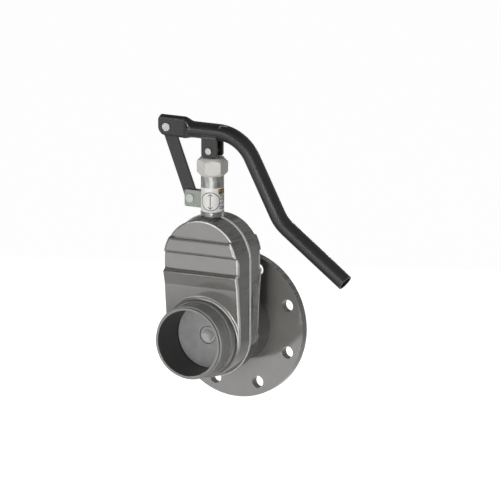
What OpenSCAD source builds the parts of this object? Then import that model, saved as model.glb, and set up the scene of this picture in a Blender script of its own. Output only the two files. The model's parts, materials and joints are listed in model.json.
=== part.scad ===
// Quick-acting lever slide valve: a moulded two-part body with a threaded inlet and a flanged
// outlet, and a closing plate drawn up into the body by a lever through a stem and gland.
// Frame: origin at the centre of the flange's sealing face, bore along Y, inlet towards -Y, +Z up the stem.
// All sizes are in millimetres.

/* [Flange] */
// Outside diameter of the flange
flange_d = 228.6; // [215:0.1:280]
// Thickness of the flange
flange_t = 14; // [10:0.5:24]
// Diameter of the bolt circle
bolt_circle_d = 190.5; // [170:0.1:195]
// Number of bolt holes, which straddle the vertical
bolt_count = 8; // [4, 8, 12]
// Diameter of each bolt hole
bolt_hole_d = 19.05; // [12:0.05:22]

/* [Bore] */
// Diameter of the flow bore
bore_d = 101.6; // [80:0.1:104]
// Wall of the tubes that line the bore inside the body
liner_wall = 5.5; // [4:0.1:8]
// Outside diameter of the neck between body and flange
neck_d = 114.3; // [112:0.1:122]
// Length of neck that shows between body and flange
neck_len = 40.5; // [20:0.5:120]

/* [Inlet spigot] */
// Outside diameter over the thread
thread_d = 114.3; // [113:0.1:122]
// Length of the threaded stretch
thread_len = 28; // [15:0.5:60]
// Outside diameter of the plain rim in front of the thread
rim_d = 109.6; // [108:0.1:112]
// Length of the plain rim
rim_len = 4.2; // [2:0.1:10]
// Outside diameter of the shoulder ring behind the thread
shoulder_d = 120; // [117:0.5:123]
// Length of the shoulder ring
shoulder_len = 12.6; // [6:0.1:20]
// Width of the groove between the shoulder ring and the body's boss
groove_len = 4; // [2:0.5:8]

/* [Body] */
// Width across the body's sides at its faces
body_w = 126.6; // [123:0.1:150]
// Depth of each half, from the parting plane to its flat face
half_depth = 37; // [34:0.5:50]
// Height of the arch's centre over the raised plate's centre
arch_slack = 15; // [8:0.5:30]
// How much each side widens from the face to the parting plane
side_draft = 1.8; // [0.5:0.1:3]
// How far the lip at the parting plane stands out
lip_out = 1.4; // [0.5:0.1:3]
// Thickness of one half's lip
lip_t = 1.6; // [1:0.1:4]
// Radius of the rounded edge round each face
edge_r = 2.5; // [1.5:0.5:5]
// Wall of the body at its sides
body_wall = 6; // [5:0.1:8]
// Depth of the boss round the bore, from the parting plane
boss_depth = 32; // [31:0.5:35]

/* [Ribs] */
// Height over the arch's centre of the upper band's top step
band_rise = 32.5; // [28:0.5:38]
// Height of the upper band
band_h = 23; // [15:0.5:26]
// How far the band stands out from the face
band_out = 6.3; // [3:0.1:9]
// Radius of the band's rounded edges
band_r = 4; // [1:0.5:4]
// Height over the bore of the lower ridge's upper edge
ridge_top = 103; // [101:0.5:108]
// Height over the bore of the lower ridge's crest
ridge_crest = 98; // [92:0.5:98]
// How far the lower ridge stands out from the face
ridge_out = 6; // [2:0.5:8]
// Width and depth of the grooves that set off the band and the ridge
line_w = 1.4; // [0.5:0.1:2]
// Height over the bore where the sloping lower face starts
slope_top = 80; // [70:1:88]
// How far the lower face stands out from the middle face at its top
slope_out = 1.1; // [0:0.1:3]
// Depth of the lower face at the bore's height, from the parting plane
slope_depth = 30; // [29:0.5:33]

/* [Closing plate] */
// Radius of the closing plate
plate_r = 54; // [52.5:0.1:55]
// Thickness of the closing plate
plate_t = 30; // [8:0.5:34]
// Diameter of the plug at the plate's centre
plug_d = 26; // [15:1:40]
// Length of that plug
plug_h = 3; // [1:0.5:4]
// Travel of the plate from closed to open
stroke = 105; // [60:1:105]

/* [Stem and gland] */
// Diameter of the stem
stem_d = 12; // [8:0.5:14]
// Outside diameter of the bonnet tube
tube_d = 35.2; // [28:0.1:36]
// Wall of the bonnet tube
tube_wall = 3.6; // [3:0.1:4.5]
// Height of the collar at the foot of the bonnet tube, over the body's lip
collar_h = 4.5; // [2:0.1:16]
// Outside diameter of that collar
collar_d = 36.4; // [36:0.1:46]
// Length of bonnet tube that shows between the collar and the gland nut
bonnet_len = 56; // [55:1:90]
// Height of the gland nut
nut_h = 28; // [20:1:28]
// Width across the gland nut's flats
nut_af = 41.4; // [40:0.1:50]
// Height of the label
label_h = 37.3; // [30:0.1:50]

/* [Linkage] */
// Height of the clevis pin over the gland nut with the valve closed
pivot_rise = 11; // [10.5:0.5:20]
// Distance of the link's upper pin left of the clevis pin
link_top_out = 76.7; // [74:0.1:82]
// Height of the link's upper pin over the clevis pin
link_top_up = 29.1; // [27:0.1:31]
// Distance of the link's lower pin left of the clevis pin
link_foot_out = 35.2; // [34:0.1:40]
// Depth of the link's lower pin under the clevis pin
link_foot_down = 77.4; // [74:0.1:82]
// Diameter of the three linkage pins
pin_d = 8; // [6:0.5:9]
// Width of the link bar
link_w = 20; // [16:0.5:24]
// Thickness of the link bar
link_t = 5; // [4:0.5:6]
// Width of the clevis cheeks
cheek_w = 26; // [20:0.5:30]
// Thickness of the clevis cheeks
cheek_t = 4; // [3:0.5:5]
// Depth of the clevis over both cheeks
clevis_depth = 24; // [20:0.1:24.5]
// Thickness of the bracket's plates
bracket_t = 3; // [2:0.5:5]
// Height of the bracket's plates
bracket_h = 25.9; // [20:0.1:30]
// Reach of the bracket's plates past the link's lower pin
bracket_reach = 9.6; // [7:0.1:12]

/* [Lever] */
// Outside diameter of the lever's tube
lever_d = 25.4; // [20:0.1:28]
// Wall of the lever's tube
lever_wall = 2.5; // [1.5:0.1:3.5]
// Height of the lever tube's level stretch over the clevis pin
lever_rise = 28.7; // [26:0.1:32]
// Run from the clevis pin to the first bend's corner
run_1 = 50.5; // [45:0.5:80]
// Length between the corners of the two bends
run_2 = 146.5; // [110:0.5:200]
// Length from the second bend's corner to the end
run_3 = 138; // [60:0.1:250]
// Turn of the first bend, in degrees
bend_1 = 62.3; // [40:0.1:80]
// Turn back of the second bend, in degrees
bend_2 = 25.7; // [10:0.1:40]
// Radius of the first bend's centreline
bend_r1 = 65; // [35:1:70]
// Radius of the second bend's centreline
bend_r2 = 60; // [35:1:90]
// Height of the lever's flattened end
fork_h = 34; // [28:0.1:36]
// Width of the lever's flattened end
fork_w = 12; // [11:0.1:14]
// Length of the flattened end, right of the link's upper pin
fork_tail = 28.7; // [24:0.1:34]
// Length of the taper from the flattened end to the round tube
crimp_len = 11; // [8:0.5:15]

/* [Hidden] */

// Clearances
glue_gap = 0.1;      // between pieces that are glued or welded round a cylinder
slide_gap = 0.3;     // between the closing plate and its seats
running_gap = 0.06;  // radial play of a pin or a stem in its hole
link_gap = 1;        // at each side of the link bar
stem_play = 1;       // round the stem where nothing guides it

// Body
arch_rise = stroke + arch_slack;
band_top = arch_rise + band_rise;
band_bottom = band_top - band_h;
mid_y = -(flange_t + neck_len + half_depth);
bore_r = bore_d / 2;
liner_r = bore_r + liner_wall;
face_r = body_w / 2;
part_r = face_r + side_draft;
lip_r = part_r + lip_out;
cavity_r = face_r - body_wall;
cavity_depth = slope_depth - body_wall - 0.5;
seat_t = 4;
seat_z = plate_t / 2 + slide_gap;
big = 400;
lap = 0.5;
arc_steps = 6;

// Spigot, as depths from the parting plane
groove_z = boss_depth;
shoulder_z = groove_z + groove_len;
thread_z = shoulder_z + shoulder_len;
rim_z = thread_z + thread_len;
spigot_end = rim_z + rim_len;
groove_r = thread_d / 2 + 0.6;

// Closing plate and stem
plate_tab_w = 40;
plug_sink = 0.4;
plug_groove = 0.9;
plug_z = plate_t / 2 - plug_sink - plug_h;
hub_z = liner_r + 1;
hub_h = 7;
hub_w = 26;
hub_t = 14;
stem_foot = hub_z + 1.5;
stem_r = stem_d / 2;

// Bonnet
tube_r = tube_d / 2;
tube_in_r = tube_r - tube_wall;
tube_seat_r = tube_r - 1.9;
tube_foot = arch_rise + cavity_r + 0.5;
collar_top = arch_rise + lip_r + collar_h;
nut_z = collar_top + bonnet_len;
tube_top = nut_z + 14;
follower_t = 2;
guide_h = 10;
packing_h = 10;
nut_r = nut_af / sqrt(3);
nut_land = 0.4;
nut_chamfer = nut_r - tube_r - nut_land;
label_t = 0.25;
label_z = collar_top + 1.2;
label_gap_angle = 70;

// Linkage
pivot_z = nut_z + nut_h + pivot_rise;
link_top = [-link_top_out, link_top_up];
link_foot = [-link_foot_out, -link_foot_down];
pin_r = pin_d / 2;
pin_head_t = 2;
foot_head_r = 6.5;
clevis_head_r = 5;
corner_r = 3.5;
top_head_r = 6.4;
foot_x = link_foot[0];
foot_z = pivot_z + link_foot[1];
fork_in = link_t + 2 * link_gap;
bracket_in = fork_in + 0.4;
bracket_x = foot_x - bracket_reach;
bracket_z = foot_z - 13.2;
cheek_z = pivot_z - 9.5;
eye_r = 8.6;
eye_t = clevis_depth - 2 * cheek_t - 2 * slide_gap;
fork_wall = (fork_w - fork_in) / 2;
fork_z = lever_rise + 1.5;
fork_nose = 14.3;
lever_r = lever_d / 2;
bend_thin = 0.03;
bend_lap = 0.5;
crimp_x = link_top[0] + fork_tail;
tube_x = crimp_x + crimp_len;
slot_x = crimp_x - 1.5;

// Points on an arc, as [x, y], from angle a0 to a1
function arc(c, r, a0, a1, n = arc_steps) =
    [for (i = [0:n]) c + r * [cos(a0 + (a1 - a0) * i / n), sin(a0 + (a1 - a0) * i / n)]];
function turn(v, a) = [v[0] * cos(a) - v[1] * sin(a), v[0] * sin(a) + v[1] * cos(a)];

// Half-outline of a shell half: radius from the arch's axis against depth from the parting plane
function shell_outline(depth, r_edge = edge_r) =
    concat([[0, 0], [lip_r, 0], [lip_r, lip_t], [part_r, lip_t + lip_out]],
           arc([face_r - r_edge, depth - r_edge], r_edge, 0, 90), [[0, depth]]);
// The same without its lip, carried down behind the parting plane
function side_outline(depth) =
    concat([[0, -big], [part_r, -big], [part_r, lip_t + lip_out]],
           arc([face_r - edge_r, depth - edge_r], edge_r, 0, 90), [[0, depth]]);
// The lip alone
function lip_outline() =
    [[0, 0], [lip_r, 0], [lip_r, lip_t], [part_r - lip_out, lip_t + 2 * lip_out], [0, lip_t + 2 * lip_out]];
// The hollow inside a half
function cavity_outline() = [[0, -1], [cavity_r, -1], [cavity_r, cavity_depth], [0, cavity_depth]];

// Places what is drawn with depth along +Z and height along +Y: the front half, then its mirror image
module front_half() { translate([0, mid_y, 0]) rotate([90, 0, 0]) children(); }
module rear_half() { translate([0, mid_y, 0]) mirror([0, 1, 0]) rotate([90, 0, 0]) children(); }

// Places what is drawn in the lever's plane: x to the right, y up from the clevis pin, z to the front
module lever_plane() { translate([0, mid_y, pivot_z]) rotate([90, 0, 0]) children(); }

module arch(points) { translate([0, arch_rise, 0]) rotate_extrude(angle = 180, $fn = 96) polygon(points); }
module foot(points) { rotate([0, 0, 180]) rotate_extrude(angle = 180, $fn = 96) polygon(points); }
// A straight stretch of an outline between two heights
module straight(points, z0, z1) {
    translate([0, z1, 0]) rotate([90, 0, 0]) linear_extrude(z1 - z0) {
        polygon(points);
        mirror([1, 0]) polygon(points);
    }
}
// A bar right across the face, given by its section as [height, depth] points
module across(points) { rotate([90, 0, 90]) linear_extrude(big, center = true) polygon(points); }
module ring(r_out, r_in, z0, z1) {
    difference() {
        translate([0, 0, z0]) cylinder(r = r_out, h = z1 - z0, $fn = 96);
        translate([0, 0, z0 - 1]) cylinder(r = r_in, h = z1 - z0 + 2, $fn = 96);
    }
}

// A stretch of the body between two heights whose face runs from one depth to another
module sloped(z0, z1, depth_0, depth_1) {
    k = (depth_1 - depth_0) / (z1 - z0);
    intersection() {
        multmatrix([[1, 0, 0, 0], [0, 1, 0, 0], [0, k, 1, -k * z0], [0, 0, 0, 1]])
            straight(side_outline(depth_0), z0, z1);
        translate([-big / 2, z0, 0]) cube([big, z1 - z0, big]);
    }
}

// The outer form of one half: arch, flat stretch, lower ridge, sloping lower face and round foot
module half_form() {
    arch(shell_outline(half_depth));
    straight(shell_outline(half_depth), slope_top - lap, arch_rise);
    sloped(ridge_crest + 1 - lap, ridge_top, half_depth + ridge_out, half_depth);
    sloped(slope_top - lap, ridge_crest + 1, half_depth + slope_out, half_depth + ridge_out);
    sloped(0, slope_top, slope_depth, half_depth + slope_out);
    straight(lip_outline(), 0, arch_rise);
    foot(shell_outline(boss_depth));
}

// The upper band: a slice of a deeper arch, rounded along its two edges
module band() {
    top = half_depth + band_out;
    root = half_depth - edge_r - 1;
    intersection() {
        arch(shell_outline(top, band_r + 1));
        across(concat([[band_bottom, root]], arc([band_bottom + band_r, top - band_r], -band_r, 0, -90),
                      arc([band_top - band_r, top - band_r], band_r, 90, 0), [[band_top, root]]));
    }
}
// Grooves over the band, under it and over the ridge
module lines() {
    for (z = [band_top, band_bottom - line_w, ridge_top])
        translate([-big / 2, z, half_depth - line_w]) cube([big, line_w, line_w + 0.1]);
}

module half_hollow() {
    arch(cavity_outline());
    straight(cavity_outline(), 0, arch_rise);
    foot(cavity_outline());
    translate([0, 0, -1]) cylinder(r = liner_r + glue_gap, h = big, $fn = 96);
    translate([0, arch_rise, 0]) rotate([-90, 0, 0]) cylinder(r = tube_seat_r + glue_gap, h = big, $fn = 64);
}

// One half of the body, with the round recess that leaves its boss free
module half_shell() {
    difference() {
        union() {
            difference() { half_form(); lines(); }
            band();
        }
        half_hollow();
        translate([0, 0, boss_depth]) cylinder(r = part_r, h = big, $fn = 96);
    }
}
module front_half_shell() { color([0.56, 0.56, 0.54]) front_half() half_shell(); }
module rear_half_shell() { color([0.5, 0.5, 0.48]) rear_half() half_shell(); }
module threaded_spigot() {
    color([0.42, 0.42, 0.4]) front_half() rotate_extrude($fn = 96) polygon([
        [bore_r, seat_z + seat_t], [liner_r, seat_z + seat_t], [liner_r, thread_z], [thread_d / 2, thread_z],
        [thread_d / 2, rim_z], [rim_d / 2, rim_z], [rim_d / 2, spigot_end], [bore_r, spigot_end]]);
}
module shoulder_ring() {
    color([0.55, 0.55, 0.53]) front_half() rotate_extrude($fn = 96) polygon([
        [liner_r + glue_gap, groove_z], [groove_r, groove_z], [groove_r, shoulder_z],
        [shoulder_d / 2 - 1, shoulder_z], [shoulder_d / 2, shoulder_z + 1],
        [shoulder_d / 2, thread_z - 1.5], [shoulder_d / 2 - 1.5, thread_z], [liner_r + glue_gap, thread_z]]);
}
module rear_neck() {
    color([0.33, 0.33, 0.32]) rear_half() rotate_extrude($fn = 96) polygon([
        [bore_r, seat_z + seat_t], [liner_r, seat_z + seat_t], [liner_r, boss_depth],
        [neck_d / 2, boss_depth], [neck_d / 2, -mid_y], [bore_r, -mid_y]]);
}
module flange() {
    color([0.5, 0.5, 0.49]) rotate([90, 0, 0]) difference() {
        cylinder(d = flange_d, h = flange_t, $fn = 128);
        translate([0, 0, -1]) cylinder(r = neck_d / 2 + glue_gap, h = flange_t + 2, $fn = 96);
        for (i = [0:bolt_count - 1]) rotate([0, 0, (i + 0.5) * 360 / bolt_count])
            translate([bolt_circle_d / 2, 0, -1]) cylinder(d = bolt_hole_d, h = flange_t + 2, $fn = 48);
    }
}
module front_seat_ring() {
    color([0.12, 0.12, 0.12]) front_half() ring(liner_r, bore_r, seat_z, seat_z + seat_t);
}
module rear_seat_ring() {
    color([0.12, 0.12, 0.12]) rear_half() ring(liner_r, bore_r, seat_z, seat_z + seat_t);
}

module on_stem() { translate([0, mid_y, 0]) children(); }
module bonnet_socket() {
    color([0.4, 0.4, 0.39]) difference() {
        on_stem() ring(collar_d / 2, tube_seat_r + glue_gap, arch_rise + face_r - 6, collar_top);
        front_half() translate([0, arch_rise, -big / 2]) cylinder(r = lip_r + glue_gap, h = big, $fn = 96);
    }
}
// The bonnet tube, turned down at its foot to seat in the collar
module bonnet_tube() {
    color([0.62, 0.63, 0.64]) on_stem() difference() {
        union() {
            translate([0, 0, tube_foot]) cylinder(r = tube_seat_r, h = collar_top - tube_foot + 1, $fn = 96);
            translate([0, 0, collar_top]) cylinder(r = tube_r, h = tube_top - collar_top, $fn = 96);
        }
        translate([0, 0, tube_foot - 1]) cylinder(r = tube_in_r, h = tube_top - tube_foot + 2, $fn = 96);
    }
}
module stem_guide() {
    color([0.85, 0.85, 0.82]) on_stem()
        ring(tube_in_r - glue_gap, stem_r + running_gap, tube_foot, tube_foot + guide_h);
}
module label_sleeve() {
    color([0.93, 0.92, 0.88]) on_stem() rotate([0, 0, 180 + label_gap_angle / 2])
        rotate_extrude(angle = 360 - label_gap_angle, $fn = 96)
            translate([tube_r, label_z]) square([label_t, label_h]);
}
module gland_packing() {
    color([0.2, 0.2, 0.2]) on_stem()
        ring(tube_in_r - glue_gap, stem_r + running_gap, tube_top - packing_h, tube_top);
}
module gland_follower() {
    color([0.7, 0.6, 0.35]) on_stem() ring(tube_r, stem_r + stem_play, tube_top, tube_top + follower_t);
}
module gland_nut() {
    top_r = nut_r - nut_chamfer;
    color([0.82, 0.81, 0.78]) on_stem() difference() {
        intersection() {
            translate([0, 0, nut_z]) rotate([0, 0, 30]) cylinder(r = nut_r, h = nut_h, $fn = 6);
            rotate_extrude($fn = 96) polygon([
                [0, nut_z], [top_r, nut_z], [nut_r, nut_z + nut_chamfer],
                [nut_r, nut_z + nut_h - nut_chamfer], [top_r, nut_z + nut_h], [0, nut_z + nut_h]]);
        }
        translate([0, 0, nut_z - 1]) cylinder(r = tube_r + glue_gap, h = tube_top + follower_t - nut_z + 1, $fn = 64);
        translate([0, 0, nut_z]) cylinder(r = stem_r + stem_play, h = nut_h + 1, $fn = 48);
    }
}

// A rectangle from the origin with some corners rounded, each given as [0 or 1, 0 or 1]
module rounded(w, h, corners) {
    difference() {
        square([w, h]);
        for (c = corners) translate([c[0] * w, c[1] * h]) difference() {
            square(2 * corner_r, center = true);
            translate([(1 - 2 * c[0]) * corner_r, (1 - 2 * c[1]) * corner_r]) circle(r = corner_r, $fn = 48);
        }
    }
}

// One plate of the bracket, drawn in the lever's plane from depth z0
module bracket_plate(z0) {
    difference() {
        lever_plane() translate([0, 0, z0]) linear_extrude(bracket_t) difference() {
            translate([bracket_x, bracket_z - pivot_z]) rounded(-bracket_x - 8, bracket_h, [[0, 0], [0, 1]]);
            translate(link_foot) circle(r = pin_r + glue_gap, $fn = 48);
        }
        on_stem() cylinder(r = tube_r, h = big, $fn = 64);
    }
}
module bracket_front_plate() { color([0.57, 0.58, 0.55]) bracket_plate(bracket_in / 2); }
module bracket_rear_plate() { color([0.4, 0.41, 0.39]) bracket_plate(-bracket_in / 2 - bracket_t); }
// A pin along the depth from z0 to z1, with a round head on its front end
module headed_pin(z0, z1, head_r) {
    translate([0, 0, z0]) cylinder(r = pin_r, h = z1 - z0, $fn = 48);
    translate([0, 0, z1]) cylinder(r = head_r, h = pin_head_t, $fn = 48);
}
module bracket_pin() {
    reach = bracket_in / 2 + bracket_t;
    color([0.85, 0.86, 0.84]) lever_plane() translate(link_foot) {
        headed_pin(-reach, reach, foot_head_r);
        mirror([0, 0, 1]) headed_pin(0, reach, foot_head_r);
    }
}

module gate_plate() {
    color([0.53, 0.53, 0.52]) front_half() difference() {
        translate([0, 0, -plate_t / 2]) linear_extrude(plate_t) {
            circle(r = plate_r, $fn = 128);
            translate([-plate_tab_w / 2, 0]) square([plate_tab_w, hub_z]);
        }
        translate([0, 0, plug_z]) cylinder(r = plug_d / 2 + plug_groove, h = plate_t, $fn = 64);
    }
}
// Plug in a shallow pocket of the plate, sunk a little so that it can't drag on the seat
module gate_plug() {
    color([0.6, 0.6, 0.58]) front_half() translate([0, 0, plug_z]) cylinder(d = plug_d, h = plug_h, $fn = 64);
}
module gate_hub() {
    color([0.5, 0.5, 0.5]) on_stem() difference() {
        translate([-hub_w / 2, -hub_t / 2, hub_z]) cube([hub_w, hub_t, hub_h]);
        translate([0, 0, stem_foot]) cylinder(r = stem_r + running_gap, h = hub_h, $fn = 48);
    }
}
module stem() {
    color([0.75, 0.75, 0.76]) on_stem() translate([0, 0, stem_foot])
        cylinder(r = stem_r, h = pivot_z - eye_r + 1 - stem_foot, $fn = 48);
}
module stem_eye() {
    color([0.3, 0.3, 0.3]) difference() {
        lever_plane() translate([0, 0, -eye_t / 2]) cylinder(r = eye_r, h = eye_t, $fn = 64);
        lever_plane() translate([0, 0, -eye_t]) cylinder(r = pin_r + running_gap, h = 2 * eye_t, $fn = 48);
        on_stem() cylinder(r = stem_r, h = pivot_z - eye_r + 1, $fn = 48);
    }
}
module clevis_pin() {
    reach = clevis_depth / 2 + slide_gap;
    color([0.87, 0.87, 0.85]) lever_plane() {
        headed_pin(-reach, reach, clevis_head_r);
        mirror([0, 0, 1]) headed_pin(0, reach, clevis_head_r);
    }
}

// The lever tube's wall in section, thinned at each face by thin
module tube_wall_section(thin = 0) {
    difference() {
        circle(r = lever_r - thin, $fn = 48);
        circle(r = lever_r - lever_wall + thin, $fn = 48);
    }
}
// A straight run of lever tube from a point, in a direction given in degrees; it laps the bends by lap
module tube_run(start, dir, len, lap_start = bend_lap, lap_end = bend_lap) {
    translate(start) rotate([0, 0, dir]) rotate([0, 90, 0]) translate([0, 0, -lap_start])
        linear_extrude(len + lap_start + lap_end) tube_wall_section();
}
// A bend of lever tube about a centre, from angle a0 through angle a, its wall drawn a little thinner
module tube_bend(centre, r, a0, a) {
    translate(centre) rotate([0, 0, a0])
        rotate_extrude(angle = a, $fn = 96) translate([r, 0]) tube_wall_section(bend_thin);
}
module lever_tube() {
    tan_1 = bend_r1 * tan(bend_1 / 2);
    tan_2 = bend_r2 * tan(bend_2 / 2);
    dir_2 = -bend_1;
    dir_3 = bend_2 - bend_1;
    corner_1 = [run_1, lever_rise];
    corner_2 = corner_1 + turn([run_2, 0], dir_2);
    end_1 = corner_1 - [tan_1, 0];
    end_2 = corner_2 - turn([tan_2, 0], dir_2);
    color([0.22, 0.22, 0.22]) lever_plane() {
        tube_run([tube_x, lever_rise], 0, end_1[0] - tube_x, 0);
        tube_bend(end_1 - [0, bend_r1], bend_r1, 90 - bend_1, bend_1);
        tube_run(corner_1 + turn([tan_1, 0], dir_2), dir_2, run_2 - tan_1 - tan_2);
        tube_bend(end_2 + turn([0, bend_r2], dir_2), bend_r2, dir_2 - 90, bend_2);
        tube_run(corner_2 + turn([tan_2, 0], dir_3), dir_3, run_3 - tan_2, lap_end = 0);
    }
}
// The flattened section, inset from its outer surface, standing along x
module fork_section(inset, x0, x1) {
    r = fork_w / 2 - inset;
    half = fork_h / 2 - fork_w / 2;
    translate([x0, fork_z, 0]) rotate([0, 90, 0]) linear_extrude(x1 - x0) {
        square([2 * r, 2 * half], center = true);
        for (s = [-1, 1]) translate([0, s * half]) circle(r = r, $fn = 32);
    }
}
module lever_crimp() {
    color([0.2, 0.2, 0.2]) lever_plane() difference() {
        hull() {
            fork_section(0, crimp_x, crimp_x + 0.1);
            translate([tube_x - 0.1, lever_rise, 0]) rotate([0, 90, 0]) cylinder(r = lever_r, h = 0.1, $fn = 32);
        }
        hull() {
            fork_section(fork_wall, crimp_x - 0.1, crimp_x);
            translate([tube_x, lever_rise, 0]) rotate([0, 90, 0])
                cylinder(r = lever_r - lever_wall, h = 0.1, $fn = 32);
        }
    }
}
module lever_fork() {
    nose_x = link_top[0] - fork_nose;
    color([0.24, 0.24, 0.24]) lever_plane() difference() {
        fork_section(0, nose_x, crimp_x);
        fork_section(fork_wall, nose_x - 1, crimp_x + 1);
        // slot for the link bar
        translate([nose_x - 1, fork_z - fork_h, -fork_in / 2]) cube([slot_x - nose_x + 1, fork_h, fork_in]);
        // rounded nose below the pin
        difference() {
            translate([nose_x - 5, link_top[1] - fork_h, -fork_w]) cube([fork_nose + 5, fork_h, 2 * fork_w]);
            translate([link_top[0], link_top[1], -fork_w - 1]) cylinder(r = fork_nose, h = 2 * fork_w + 2, $fn = 64);
        }
        translate([link_top[0], link_top[1], -fork_w]) cylinder(r = pin_r + glue_gap / 2, h = 2 * fork_w, $fn = 48);
    }
}
module cheek(z0) {
    lever_plane() difference() {
        translate([-cheek_w / 2, cheek_z - pivot_z, z0])
            linear_extrude(cheek_t) rounded(cheek_w, lever_rise + pivot_z - cheek_z - 4, [[0, 0], [1, 0]]);
        translate([-cheek_w, lever_rise, 0]) rotate([0, 90, 0]) cylinder(r = lever_r, h = 2 * cheek_w, $fn = 48);
        translate([0, 0, z0 - 1]) cylinder(r = pin_r + running_gap, h = cheek_t + 2, $fn = 48);
    }
}
module clevis_front_cheek() { color([0.25, 0.25, 0.24]) cheek(clevis_depth / 2 - cheek_t); }
module clevis_rear_cheek() { color([0.15, 0.15, 0.15]) cheek(-clevis_depth / 2); }
// The pin at the link's upper end is two short ones, each held in one wall of the fork
module link_pin_front() {
    color([0.87, 0.87, 0.85]) lever_plane() translate(link_top) headed_pin(fork_in / 2, fork_w / 2, top_head_r);
}
module link_pin_rear() {
    color([0.87, 0.87, 0.85]) lever_plane() translate(link_top) mirror([0, 0, 1])
        headed_pin(fork_in / 2, fork_w / 2, top_head_r);
}
module link_bar() {
    along = link_top - link_foot;
    angle = atan2(along[1], along[0]);
    color([0.27, 0.27, 0.27]) lever_plane() translate([0, 0, -link_t / 2]) difference() {
        linear_extrude(link_t) {
            translate(link_foot) rotate(angle) translate([0, -link_w / 2]) square([norm(along), link_w]);
            translate(link_foot) circle(d = link_w, $fn = 64);
            translate(link_top) circle(d = link_w, $fn = 64);
        }
        for (p = [link_top, link_foot]) translate([p[0], p[1], -1])
            cylinder(r = pin_r + running_gap, h = link_t + 2, $fn = 48);
    }
}

front_half_shell();
rear_half_shell();
threaded_spigot();
shoulder_ring();
rear_neck();
flange();
front_seat_ring();
rear_seat_ring();
bonnet_socket();
bonnet_tube();
stem_guide();
label_sleeve();
gland_packing();
gland_follower();
gland_nut();
bracket_front_plate();
bracket_rear_plate();
bracket_pin();
gate_plate();
gate_plug();
gate_hub();
stem();
stem_eye();
clevis_pin();
lever_tube();
lever_crimp();
lever_fork();
clevis_front_cheek();
clevis_rear_cheek();
link_pin_front();
link_pin_rear();
link_bar();
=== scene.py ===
# %% [markdown]
# # A lever slide valve, dressed in Blender
#
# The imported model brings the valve's solids at their real size: body, spigot, flange, stem and linkage.
# Here they get their finishes, and the finer pieces that the solids leave out: the spigot's thread, the
# moulded fillet and rolls, the dish in the plug, the pressed end of the lever and the welds. Everything is
# in metres, in the model's own frame: the bore runs along Y with the inlet towards -Y, and Z points up the
# stem.

# %% Load the frame
import json
import math

import bmesh
import bpy
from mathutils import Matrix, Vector


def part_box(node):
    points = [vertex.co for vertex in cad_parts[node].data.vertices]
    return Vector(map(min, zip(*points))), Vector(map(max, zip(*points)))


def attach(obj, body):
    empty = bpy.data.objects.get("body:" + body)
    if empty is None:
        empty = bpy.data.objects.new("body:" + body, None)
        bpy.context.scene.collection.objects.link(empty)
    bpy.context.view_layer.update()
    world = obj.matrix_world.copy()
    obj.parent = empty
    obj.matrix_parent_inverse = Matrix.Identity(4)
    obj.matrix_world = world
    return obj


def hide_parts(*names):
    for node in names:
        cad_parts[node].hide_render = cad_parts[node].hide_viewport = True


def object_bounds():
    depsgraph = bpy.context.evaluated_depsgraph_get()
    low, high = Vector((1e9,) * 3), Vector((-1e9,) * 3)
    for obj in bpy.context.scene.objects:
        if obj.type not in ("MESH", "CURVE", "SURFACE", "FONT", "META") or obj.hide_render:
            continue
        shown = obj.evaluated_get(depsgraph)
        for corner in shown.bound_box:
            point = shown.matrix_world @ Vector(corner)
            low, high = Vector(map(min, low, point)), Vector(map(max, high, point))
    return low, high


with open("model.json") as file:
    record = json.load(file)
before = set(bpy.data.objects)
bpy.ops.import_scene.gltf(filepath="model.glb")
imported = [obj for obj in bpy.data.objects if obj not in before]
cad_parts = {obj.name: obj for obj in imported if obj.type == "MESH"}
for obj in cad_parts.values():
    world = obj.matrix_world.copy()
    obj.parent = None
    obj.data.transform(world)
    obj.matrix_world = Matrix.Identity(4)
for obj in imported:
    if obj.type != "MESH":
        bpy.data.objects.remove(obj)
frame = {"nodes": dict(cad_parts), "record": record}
cad_low, cad_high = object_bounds()
MM = 0.001
print("CAD box", [round(v, 4) for v in (*cad_low, *cad_high)])

# %% [markdown]
# ## Camera
#
# The valve is seen a little from the right and from above, without visible perspective. A long lens far
# away gives that view and still works from every other side, where an orthographic camera could start
# below the floor.

# %% Camera
VIEW_AZIMUTH = math.radians(28.36)
VIEW_ELEVATION = math.radians(12.625)
VIEW_DISTANCE = 30.0
VIEW_WIDTH = 0.761
AIM = Vector((0.0653, -0.0922, 0.1369))
SENSOR = 36.0
FARTHEST = 200.0


def away(azimuth, elevation):
    """The direction from the valve towards an azimuth and elevation, both in radians."""
    return Vector((
        math.sin(azimuth) * math.cos(elevation),
        -math.cos(azimuth) * math.cos(elevation),
        math.sin(elevation),
    ))


def aim_at_valve(obj, azimuth, elevation, distance):
    """Stands a lamp, card or camera off the valve and turns it towards it."""
    direction = away(azimuth, elevation)
    obj.location = AIM + direction * distance
    obj.rotation_mode = "QUATERNION"
    obj.rotation_quaternion = (-direction).to_track_quat("-Z", "Y")
    bpy.context.scene.collection.objects.link(obj)


camera_data = bpy.data.cameras.new("camera")
camera_data.lens = SENSOR * VIEW_DISTANCE / VIEW_WIDTH
camera_data.sensor_width = SENSOR
camera_data.clip_end = FARTHEST
camera = bpy.data.objects.new("camera", camera_data)
aim_at_valve(camera, VIEW_AZIMUTH, VIEW_ELEVATION, VIEW_DISTANCE)
bpy.context.scene.camera = camera
bpy.context.scene.view_settings.view_transform = "Standard"
print("lens", round(camera_data.lens, 1), "mm")

# %% [markdown]
# ## Studio light
#
# Glossy grey plastic shows its shape by what it mirrors. One large soft light stands almost straight in
# front, so that the front reads light, the sides fall off, and the body throws a clear shadow on its
# flange. Three lamps show only in the gloss: a panel low on the left gives the flat faces their sheen, a
# narrow strip low on the right runs down the rounded edges, and a flat strip high on the left marks the
# brows of the ridges. They are kept weak, because a flat face turned the right way mirrors all of a lamp.
# A lamp behind keeps the back readable.

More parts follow.
